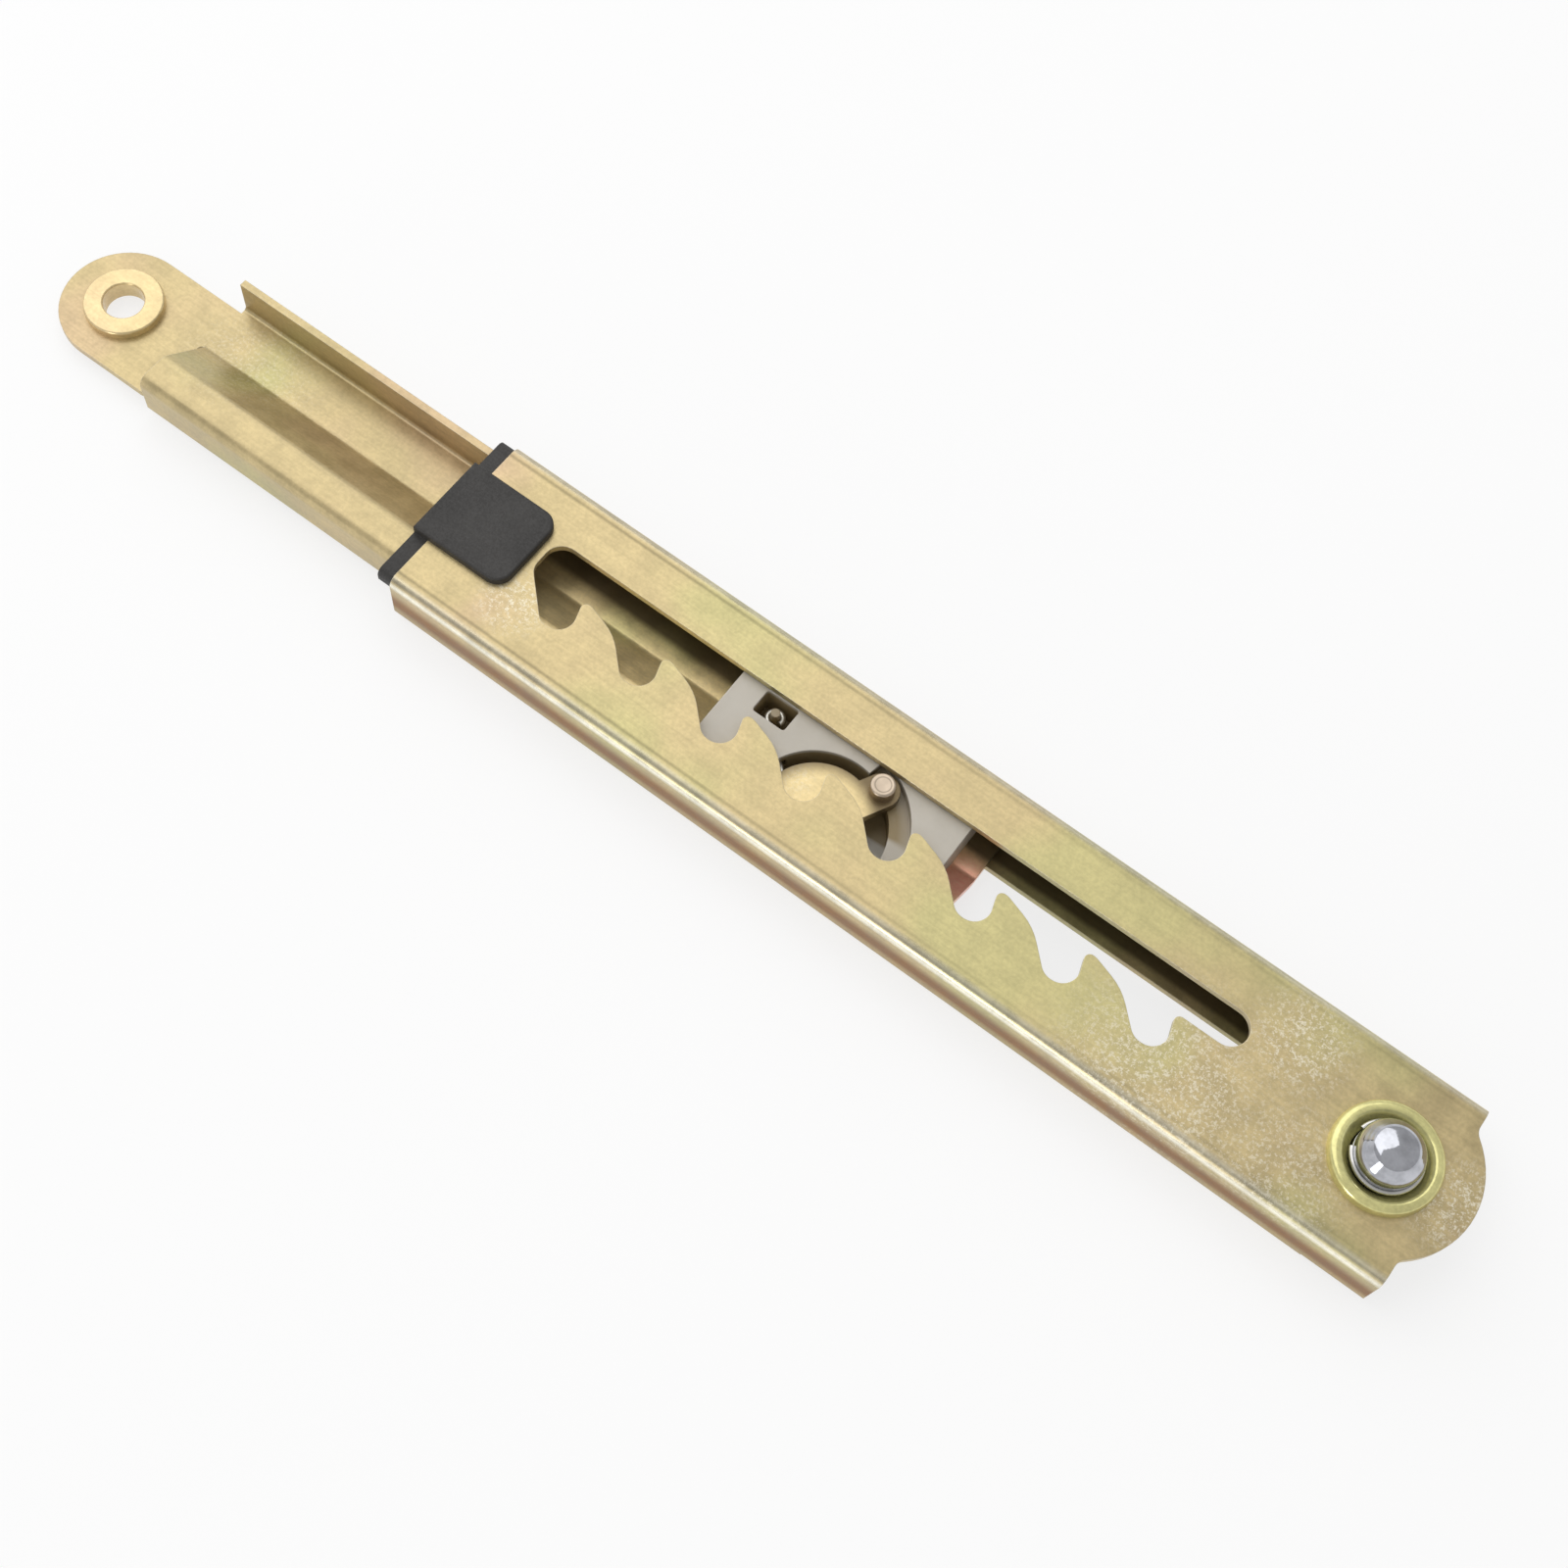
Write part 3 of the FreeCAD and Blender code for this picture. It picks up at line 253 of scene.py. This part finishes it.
def yellow_zinc(name, tone, rose, green, bloom_spots, tint=None, shade_mask=None, folded=False,
                painted_light_below=None, smoother=0.0):
    """Passivated zinc: gold drifting to rose and green, mottled, with fine rolled grain along X. A tint is a
    patch's centre, reach and colour. Painted shade darkens the plate where a mask is given by a function,
    painted reflections and a painted highlight show along the folds of the folded channel, and painted light
    makes the plate lighter short of a given X."""
    material, tree, shader, place = new_finish(name)
    rounded = rounded_normal(tree, EDGE_RADIUS)
    mottle = grain(tree, place, 170.0, 4.0, 0.6)
    streaks = grain(tree, mapped(tree, place, scale=(30.0, 1500.0, 1500.0)), 1.0, 3.0, 0.6)
    colour = zinc_colour(tree, place, rose, green, folded)
    shade = zinc_shade(tree, place, mottle, streaks, tone)
    bloom = bloom_flecks(tree, place, bloom_spots)
    dull = spread(tree, mottle, 0.25, 0.75, ZINC_SMOOTH - smoother, ZINC_DULL - smoother)
    shader.inputs["Metallic"].default_value = ZINC_METAL
    if tint is not None:
        centre, reach, tint_colour = tint
        colour = blend_colour(tree, patch(tree, place, centre, reach, 0.9), colour, tint_colour)
    # Painted light: short of the given X the plate is painted up to 1.6 times lighter, inside the channel
    # where shade falls.
    if painted_light_below is not None:
        painted_light = spread(tree, split(tree, place)["X"], painted_light_below, painted_light_below - 0.04, 1.0, 1.6)
        shade = arithmetic(tree, "MULTIPLY", shade, painted_light)
    if folded:
        dark_reflection, gloss_and_highlight, flank_shade = fold_painted_light(tree, place)
        # Painted shade down the sides below the folds.
        colour = blend_colour(tree, flank_shade, colour, FLANK_SHADE_BROWN)
        # Painted highlight along the folds, where the strip is also glossier and more metallic.
        colour = blend_colour(tree, gloss_and_highlight, colour, ZINC_WEAR_AND_HIGHLIGHT)
        # Painted reflections of dark surroundings darken the plate along the folds.
        shade = arithmetic(tree, "MULTIPLY", shade, inverse(tree, dark_reflection))
        bloom = arithmetic(tree, "MULTIPLY", bloom, inverse(tree, flank_shade))
        dull = arithmetic(tree, "SUBTRACT", dull, arithmetic(tree, "MULTIPLY", gloss_and_highlight, 0.14))
        metal = arithmetic(tree, "ADD", arithmetic(tree, "MULTIPLY", gloss_and_highlight, 1.0 - ZINC_METAL), ZINC_METAL)
        tree.links.new(metal, shader.inputs["Metallic"])
    colour = blend_colour(tree, bloom, scaled_colour(tree, colour, shade), ZINC_BLOOM)
    worn = arithmetic(tree, "MULTIPLY", edge_wear(tree, rounded), 0.55)
    colour = blend_colour(tree, worn, colour, ZINC_WEAR_AND_HIGHLIGHT)
    # Painted shade, laid where the given mask function says.
    if shade_mask is not None:
        colour = blend_colour(tree, shade_mask(tree, place), colour, PAINTED_SHADE_BROWN)
    tree.links.new(colour, shader.inputs["Base Color"])
    dull = arithmetic(tree, "ADD", dull, arithmetic(tree, "MULTIPLY", bloom, 0.18))
    tree.links.new(dull, shader.inputs["Roughness"])
    crystals = grain(tree, place, 900.0, 5.0, 0.75)
    relief = arithmetic(tree, "ADD", arithmetic(tree, "MULTIPLY", streaks, 0.6), crystals)
    add_relief(tree, shader, relief, rounded, 0.35, 0.00003)
    return material


def dress(node, material):
    """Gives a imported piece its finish."""
    target = part[node]
    target.data.materials.clear()
    target.data.materials.append(material)


dress("housing_channel", yellow_zinc("channel_yellow_zinc", tone=1.0, rose=0.8, green=0.6,
                                     bloom_spots=CHANNEL_BLOOM, shade_mask=channel_painted_shade, folded=True))


# Pivot: a turned bush swaged into the channel's eye, yellow zinc plated like the sheet. The chromed nut that
# turns in it is domed in front, tapped from behind, and held by a sprung wire ring.
ZINC_LIME = (0.60, 0.575, 0.25)
CHROME = (0.55, 0.56, 0.60)
DRAWN_STEEL = (0.62, 0.61, 0.58)
THREAD_BORE, THREAD_RISE, THREAD_PITCH = 0.00342, 0.00034, 0.00125
THREAD_START, THREAD_END = 0.0009, 0.0124


def turned_metal(name, colour, smooth, dull, ring_scale, axis=(0.0, 0.0), seam=0.0, smeared=0.35):
    """Turned metal: fine tool rings about an axis along Z, with darker smears. A seam is the radius of a
    dark line round that axis, where a head has been riveted over."""
    material, tree, shader, place = new_finish(name)
    centred = mapped(tree, place, shift=(-axis[0], -axis[1], 0.0))
    ring_inputs = {"Vector": centred, "Scale": ring_scale, "Distortion": 1.5, "Detail": 2.0}
    rings = add_node(tree, "ShaderNodeTexWave", ring_inputs, wave_type="RINGS", rings_direction="Z")
    smears = grain(tree, place, 260.0, 3.0, 0.6)
    stained = blend_colour(tree, spread(tree, smears, 0.35, 0.75, 0.0, smeared), colour,
                           tuple(value * 0.60 for value in colour))
    if seam > 0.0:
        away = length(tree, mapped(tree, centred, scale=(1.0, 1.0, 0.0)))
        stained = blend_colour(tree, band(tree, away, seam, 0.00022, 0.75), stained,
                               tuple(value * 0.35 for value in colour))
    tree.links.new(stained, shader.inputs["Base Color"])
    shader.inputs["Metallic"].default_value = 1.0
    tree.links.new(spread(tree, smears, 0.3, 0.7, smooth, dull), shader.inputs["Roughness"])
    add_relief(tree, shader, rings.outputs["Fac"], rounded_normal(tree, EDGE_RADIUS * 0.8), 0.25, 0.000008)
    return material


def thread_ridge(bore, rise, pitch, low, high, steps=72):
    """Ridge of an internal thread: a four-sided section carried along a helix inside the bore, tapered to
    nothing at both ends. Two of its corners lie in the wall and two stand inward as the crest."""
    turns = (high - low) / pitch
    turn = np.linspace(0.0, 2.0 * np.pi * turns, int(steps * turns))
    taper = np.clip(np.minimum(turn, turn[-1] - turn) / (0.6 * np.pi), 0.02, 1.0)[:, None]
    inward = np.array([[0.0, rise, rise, 0.0]]) * taper
    along = np.array([[-0.46, -0.10, 0.10, 0.46]]) * pitch * taper
    turn = turn[:, None]
    return np.stack([(bore - inward) * np.cos(turn), (bore - inward) * np.sin(turn),
                     low + pitch * turn / (2.0 * np.pi) + along], axis=-1)


def grid_quads(index):
    """Faces between the rows of a grid of point numbers that closes round its second index."""
    beside = np.roll(index, -1, axis=1)
    return np.stack([index[:-1], index[1:], beside[1:], beside[:-1]], axis=-1).reshape(-1, 4).tolist()


def grid_mesh(name, grids):
    """One mesh from grids of points that close round their second index and are capped at both ends."""
    points, faces, start = [], [], 0
    for grid in grids:
        rows, columns = grid.shape[:2]
        index = np.arange(rows * columns).reshape(rows, columns) + start
        faces += grid_quads(index) + [index[0].tolist(), index[-1][::-1].tolist()]
        points.append(grid.reshape(-1, 3))
        start += rows * columns
    mesh = bpy.data.meshes.new(name)
    mesh.from_pydata(np.concatenate(points).tolist(), [], faces)
    shell = bmesh.new()
    shell.from_mesh(mesh)
    bmesh.ops.recalc_face_normals(shell, faces=shell.faces)
    shell.to_mesh(mesh)
    shell.free()
    made = bpy.data.objects.new(name, mesh)
    bpy.context.scene.collection.objects.link(made)
    return made


small_zinc = yellow_zinc("turned_yellow_zinc", tone=1.30, rose=0.3, green=0.9,
                         bloom_spots=[((0.0, 0.0, 0.013), 0.008, 0.2)],
                         tint=((0.0, 0.0, 0.016), 0.030, ZINC_LIME), smoother=0.13)
bright_chrome = turned_metal("bright_chrome", CHROME, smooth=0.05, dull=0.13, ring_scale=500.0, smeared=0.9)
ring_steel = turned_metal("drawn_steel", DRAWN_STEEL, smooth=0.20, dull=0.32, ring_scale=900.0)
dress("pivot_bush", small_zinc)
dress("pivot_nut", bright_chrome)
dress("snap_ring", ring_steel)
nut_thread = grid_mesh("nut_thread", [thread_ridge(THREAD_BORE, THREAD_RISE, THREAD_PITCH, THREAD_START,
                                                   THREAD_END)])
nut_thread.data.materials.append(bright_chrome)
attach(nut_thread, "pivot")


# Mouth cap: injection moulded in black nylon with a finely sparked grain. Its tongue lies over the web and
# its two side walls push into the channel, where they guide the rail.
NYLON, NYLON_RUBBED = (0.024, 0.022, 0.020), (0.060, 0.056, 0.052)


def moulded(name, colour, pale, smooth, dull, grain_scale, grain_depth, see_through=0.0, shade_mask=None,
            shade_colour=PAINTED_SHADE_BROWN):
    """Moulded plastic: slightly cloudy colour, fine grain, paler where edges are worn. Painted shade darkens
    it where a mask is given by a function."""
    material, tree, shader, place = new_finish(name)
    rounded = rounded_normal(tree, EDGE_RADIUS * 1.4)
    cloud = grain(tree, place, 120.0, 4.0, 0.6)
    fine = grain(tree, place, grain_scale, 2.0, 0.6)
    shown = blend_colour(tree, spread(tree, cloud, 0.3, 0.7, 0.0, 0.35), colour, pale)
    shown = blend_colour(tree, arithmetic(tree, "MULTIPLY", edge_wear(tree, rounded), 0.5), shown, pale)
    if shade_mask is not None:
        shown = blend_colour(tree, shade_mask(tree, place), shown, shade_colour)
    tree.links.new(shown, shader.inputs["Base Color"])
    tree.links.new(spread(tree, fine, 0.3, 0.7, smooth, dull), shader.inputs["Roughness"])
    shader.inputs["Subsurface Weight"].default_value = see_through
    shader.inputs["Subsurface Radius"].default_value = (1.0, 0.9, 0.8)
    shader.inputs["Subsurface Scale"].default_value = 0.0012
    add_relief(tree, shader, fine, rounded, 0.6, grain_depth)
    return material


dress("end_cap", moulded("black_nylon", NYLON, NYLON_RUBBED, smooth=0.50, dull=0.68, grain_scale=2600.0,
                         grain_depth=0.00004))


# Rail: the same strip as the channel, folded to a stepped trough that slides in it, flattened round its
# riveted eye bush. Two pale moulded pads on its flanges keep it from rattling on the channel's sides.
ZINC_PINK = (0.78, 0.36, 0.28)
ACETAL_FINISH = {"colour": (0.53, 0.49, 0.42), "pale": (0.66, 0.62, 0.55), "smooth": 0.34, "dull": 0.48,
                 "grain_scale": 1500.0, "grain_depth": 0.00002, "see_through": 0.25}


def rail_painted_shade(tree, place):
    """Mask of painted shade along the rail's plain side, over the length that runs inside the channel."""
    x, y = split(tree, place)[:2]
    return arithmetic(tree, "MULTIPLY", spread(tree, y, -0.0062, -0.0082, 0.0, 0.85),
                      spread(tree, x, 0.206, 0.180, 0.0, 1.0))


dress("inner_rail", yellow_zinc("rail_yellow_zinc", tone=0.96, rose=0.45, green=0.9,
                                bloom_spots=[((0.26, -0.004, 0.0035), 0.02, 0.25)],
                                tint=((0.0865, 0.0, 0.0055), 0.0110, ZINC_PINK), shade_mask=rail_painted_shade,
                                painted_light_below=0.205))
dress("rail_end_bush", small_zinc)
dress("guide_pads", moulded("pale_acetal", **ACETAL_FINISH))


# Latch block: moulded in pale acetal, screwed into the rail's window from behind with two countersunk screws.
# Its arched pocket clears the latch lever and its square pocket holds the spring's hook, and both are painted
# dark in their depths as painted shade.
# Painted shade: brown laid in the depths of the block's pockets.
POCKET_SHADE = (0.30, 0.22, 0.10)
LEVER_PIVOT = (0.113822, 0.008, 0.007)
HOOK_POCKET = (0.13222, -0.0048, 0.007)
SCREW_INSET = 0.0026
SCREW_FACE, CROSS_LENGTH, CROSS_WIDTH, CROSS_DEPTH = 2.3, 1.55, 0.36, 0.95
CROSS_TURN = math.radians(31.0)


def pocket_painted_shade(tree, place):
    """Mask of painted shade over the two pockets: below the block's face, above its floor, near the lever or
    the hook.
    """
    y, z = split(tree, place)[1:]
    deep = arithmetic(tree, "MULTIPLY", spread(tree, z, 0.0109, 0.0099, 0.0, 1.0),
                      spread(tree, z, 0.0036, 0.0041, 0.0, 1.0))
    at_lever = arithmetic(tree, "MULTIPLY", patch(tree, place, LEVER_PIVOT, 0.0215, 3.0),
                          spread(tree, y, 0.0030, 0.0014, 0.0, 1.0))
    where = arithmetic(tree, "MAXIMUM", at_lever, patch(tree, place, HOOK_POCKET, 0.0075, 3.0))
    return arithmetic(tree, "MULTIPLY", deep, arithmetic(tree, "MINIMUM", where, 0.96))


def screw_surface(x, y, back, around=72):
    """Countersunk screw with its driven face at the back: a profile of radius and height in millimetres,
    from the face's middle over the head and down the thread to the tip, turned about Z. Two crossed arms
    are pressed into the face, deepest in the middle."""
    profile = [(radius, 0.0) for radius in np.linspace(0.02, SCREW_FACE, 26)]
    profile += [(2.48, 0.04), (2.56, 0.14), (2.54, 0.24), (1.46, 1.18)]
    profile += [(1.42 - 0.14 * (step % 2), 1.4 + 0.3 * step) for step in range(14)]
    profile += [(1.10, 5.9), (0.55, 6.3), (0.02, 6.4)]
    radius, level = np.array(profile).T
    turn = np.linspace(0.0, 2.0 * np.pi, around, endpoint=False) + math.radians(17.0)
    radius, turn = np.meshgrid(radius, turn, indexing="ij")
    level = np.repeat(level[:, None], around, axis=1)
    along, across = radius * np.cos(turn), radius * np.sin(turn)

    def arm(lengthwise, sideways):
        reach = np.clip((CROSS_LENGTH - np.abs(lengthwise)) / 0.30, 0.0, 1.0)
        return reach * np.clip((CROSS_WIDTH - np.abs(sideways)) / 0.12, 0.0, 1.0)

    cross = np.maximum(arm(along, across), arm(across, along)) * (radius < SCREW_FACE) * (level < 0.01)
    pressed = cross * (CROSS_DEPTH - 0.35 * radius / CROSS_LENGTH)
    turned_x = along * math.cos(CROSS_TURN) - across * math.sin(CROSS_TURN)
    turned_y = along * math.sin(CROSS_TURN) + across * math.cos(CROSS_TURN)
    return np.stack([x + 0.001 * turned_x, y + 0.001 * turned_y, back + 0.001 * (level + pressed)], axis=-1)


dress("latch_block", moulded("shaded_acetal", **ACETAL_FINISH, shade_mask=pocket_painted_shade,
                             shade_colour=POCKET_SHADE))
screw_low, screw_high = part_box("block_screws")
driven_screws = grid_mesh("driven_screws", [
    screw_surface(screw_low[0] + SCREW_INSET, screw_low[1] + SCREW_INSET, screw_low[2]),
    screw_surface(screw_high[0] - SCREW_INSET, screw_high[1] - SCREW_INSET, screw_low[2])])
driven_screws.data.materials.append(ring_steel)
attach(driven_screws, "rail")
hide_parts("block_screws")


# Latch: a pressed lever on a steel rivet carries the drawn steel pin that drops into the notches. A bent
# wire spring hooks on the block's post and pushes the lever down.
PIN_AXIS, PIN_SEAM = (0.1076, -0.0038), 0.0015
PIN_STEEL = (0.56, 0.46, 0.355)
SPRING_WIRE = (0.84, 0.82, 0.76)


def lever_painted_shade(tree, place):
    """Mask of painted shade that grows with the distance from the lever's axis, over its back edge and the
    pin's arm.
    """
    flat = mapped(tree, place, shift=(-LEVER_PIVOT[0], -LEVER_PIVOT[1], 0.0), scale=(1.0, 1.0, 0.0))
    return spread(tree, length(tree, flat), 0.0078, 0.0118, 0.0, 0.88)


dress("latch_lever", yellow_zinc("lever_shaded_yellow_zinc", tone=1.30, rose=0.4, green=0.8,
                                 bloom_spots=[((0.122, 0.004, 0.011), 0.006, 0.3)], shade_mask=lever_painted_shade))
dress("lever_rivet", ring_steel)
dress("latch_spring", turned_metal("spring_wire", SPRING_WIRE, smooth=0.38, dull=0.50, ring_scale=900.0))
dress("latch_pin", turned_metal("pin_steel", PIN_STEEL, smooth=0.30, dull=0.42, ring_scale=700.0,
                                axis=PIN_AXIS, seam=PIN_SEAM))


# Studio: a white floor that curves up into a wall far off, two soft lamps and a pale surround. The camera
# stands where the photograph was taken from, and its lens takes in the whole bracket.
FLOOR_FLAT, WALL_BEND, WALL_TOP, FLOOR_LEVEL = 8.0, 2.0, 2.2, -0.0002
FLOOR_WHITE = (0.96, 0.96, 0.96, 1.0)
SEEN_WHITE = 0.75
LIGHT = (1.0, 1.0, 1.0, 1.0)
SKY_STRENGTH = 0.56
MIDDLE = (0.14, 0.0, 0.006)
EYE = Vector((0.04444, 0.14979, 0.37190))
AIM = Vector((0.12468, 0.00178, 0.00017))
PHOTO_RIGHT = Vector((-0.8149, -0.5660, 0.1244))
LENS = 50.4


def studio_sweep(flat, bend, top, level, around=120):
    """Round floor and wall in one sheet: flat out to a radius, up a quarter circle of the bend's radius, then
    straight to the top, turned about Z. Its middle is closed by one face."""
    rise = np.linspace(0.0, 0.5 * np.pi, 17)
    radius = np.concatenate([[0.2, 0.5 * flat], flat + bend * np.sin(rise), [flat + bend]])
    height = np.concatenate([[0.0, 0.0], bend * (1.0 - np.cos(rise)), [top]]) + level
    turn = np.linspace(0.0, 2.0 * np.pi, around, endpoint=False)
    points = np.stack([np.outer(radius, np.cos(turn)), np.outer(radius, np.sin(turn)),
                       np.repeat(height[:, None], around, axis=1)], axis=-1)
    index = np.arange(radius.size * around).reshape(-1, around)
    sheet = bpy.data.meshes.new("floor")
    sheet.from_pydata(points.reshape(-1, 3).tolist(), [], [index[0].tolist()] + grid_quads(index))
    sheet.shade_smooth()
    return sheet


def white_floor(name):
    """Pale floor that takes the shadow, and that the camera, gloss and glass see nearly as pure white."""
    material, tree, shader, _ = new_finish(name)
    shader.inputs["Base Color"].default_value = FLOOR_WHITE
    shader.inputs["Roughness"].default_value = 0.8
    ray = tree.nodes.new("ShaderNodeLightPath").outputs
    seen = arithmetic(tree, "MAXIMUM", ray["Is Camera Ray"], ray["Is Glossy Ray"], ray["Is Transmission Ray"])
    white = add_node(tree, "ShaderNodeEmission", {"Color": LIGHT, "Strength": 1.0})
    shown = add_node(tree, "ShaderNodeMixShader", {0: arithmetic(tree, "MULTIPLY", seen, SEEN_WHITE),
                                                   1: shader.outputs[0], 2: white.outputs[0]})
    tree.links.new(shown.outputs[0], tree.nodes["Material Output"].inputs["Surface"])
    return material


def soft_lamp(name, place, target, width, power):
    """Square area lamp at a place, facing a target."""
    data = bpy.data.lights.new(name, "AREA")
    data.size = width
    data.energy = power
    lamp = bpy.data.objects.new(name, data)
    bpy.context.scene.collection.objects.link(lamp)
    lamp.location = place
    lamp.rotation_euler = (Vector(target) - Vector(place)).to_track_quat("-Z", "Y").to_euler()


floor_mesh = studio_sweep(FLOOR_FLAT, WALL_BEND, WALL_TOP, FLOOR_LEVEL)
floor_mesh.materials.append(white_floor("pale_floor"))
floor = bpy.data.objects.new("floor", floor_mesh)
bpy.context.scene.collection.objects.link(floor)

world = bpy.data.worlds.new("surround")
bpy.context.scene.world = world
world.use_nodes = True
sky = world.node_tree
sky.nodes.clear()
soft = add_node(sky, "ShaderNodeBackground", {"Color": LIGHT, "Strength": SKY_STRENGTH})
add_node(sky, "ShaderNodeOutputWorld", {"Surface": soft.outputs[0]})
soft_lamp("overhead_lamp", (0.88, -0.35, 1.0), MIDDLE, width=1.8, power=12.0)
soft_lamp("window_lamp", (0.20, 0.95, 0.13), MIDDLE, width=0.24, power=1.7)

forward = (AIM - EYE).normalized()
right = (PHOTO_RIGHT - forward * PHOTO_RIGHT.dot(forward)).normalized()
up = right.cross(forward)
camera_data = bpy.data.cameras.new("camera")
camera_data.sensor_width = 36.0
camera_data.lens = LENS
camera_data.clip_start = 0.01
camera = bpy.data.objects.new("camera", camera_data)
bpy.context.scene.collection.objects.link(camera)
camera.matrix_world = Matrix.Translation(EYE) @ Matrix((right, up, -forward)).transposed().to_4x4()
bpy.context.scene.camera = camera
bpy.context.scene.view_settings.view_transform = "Standard"
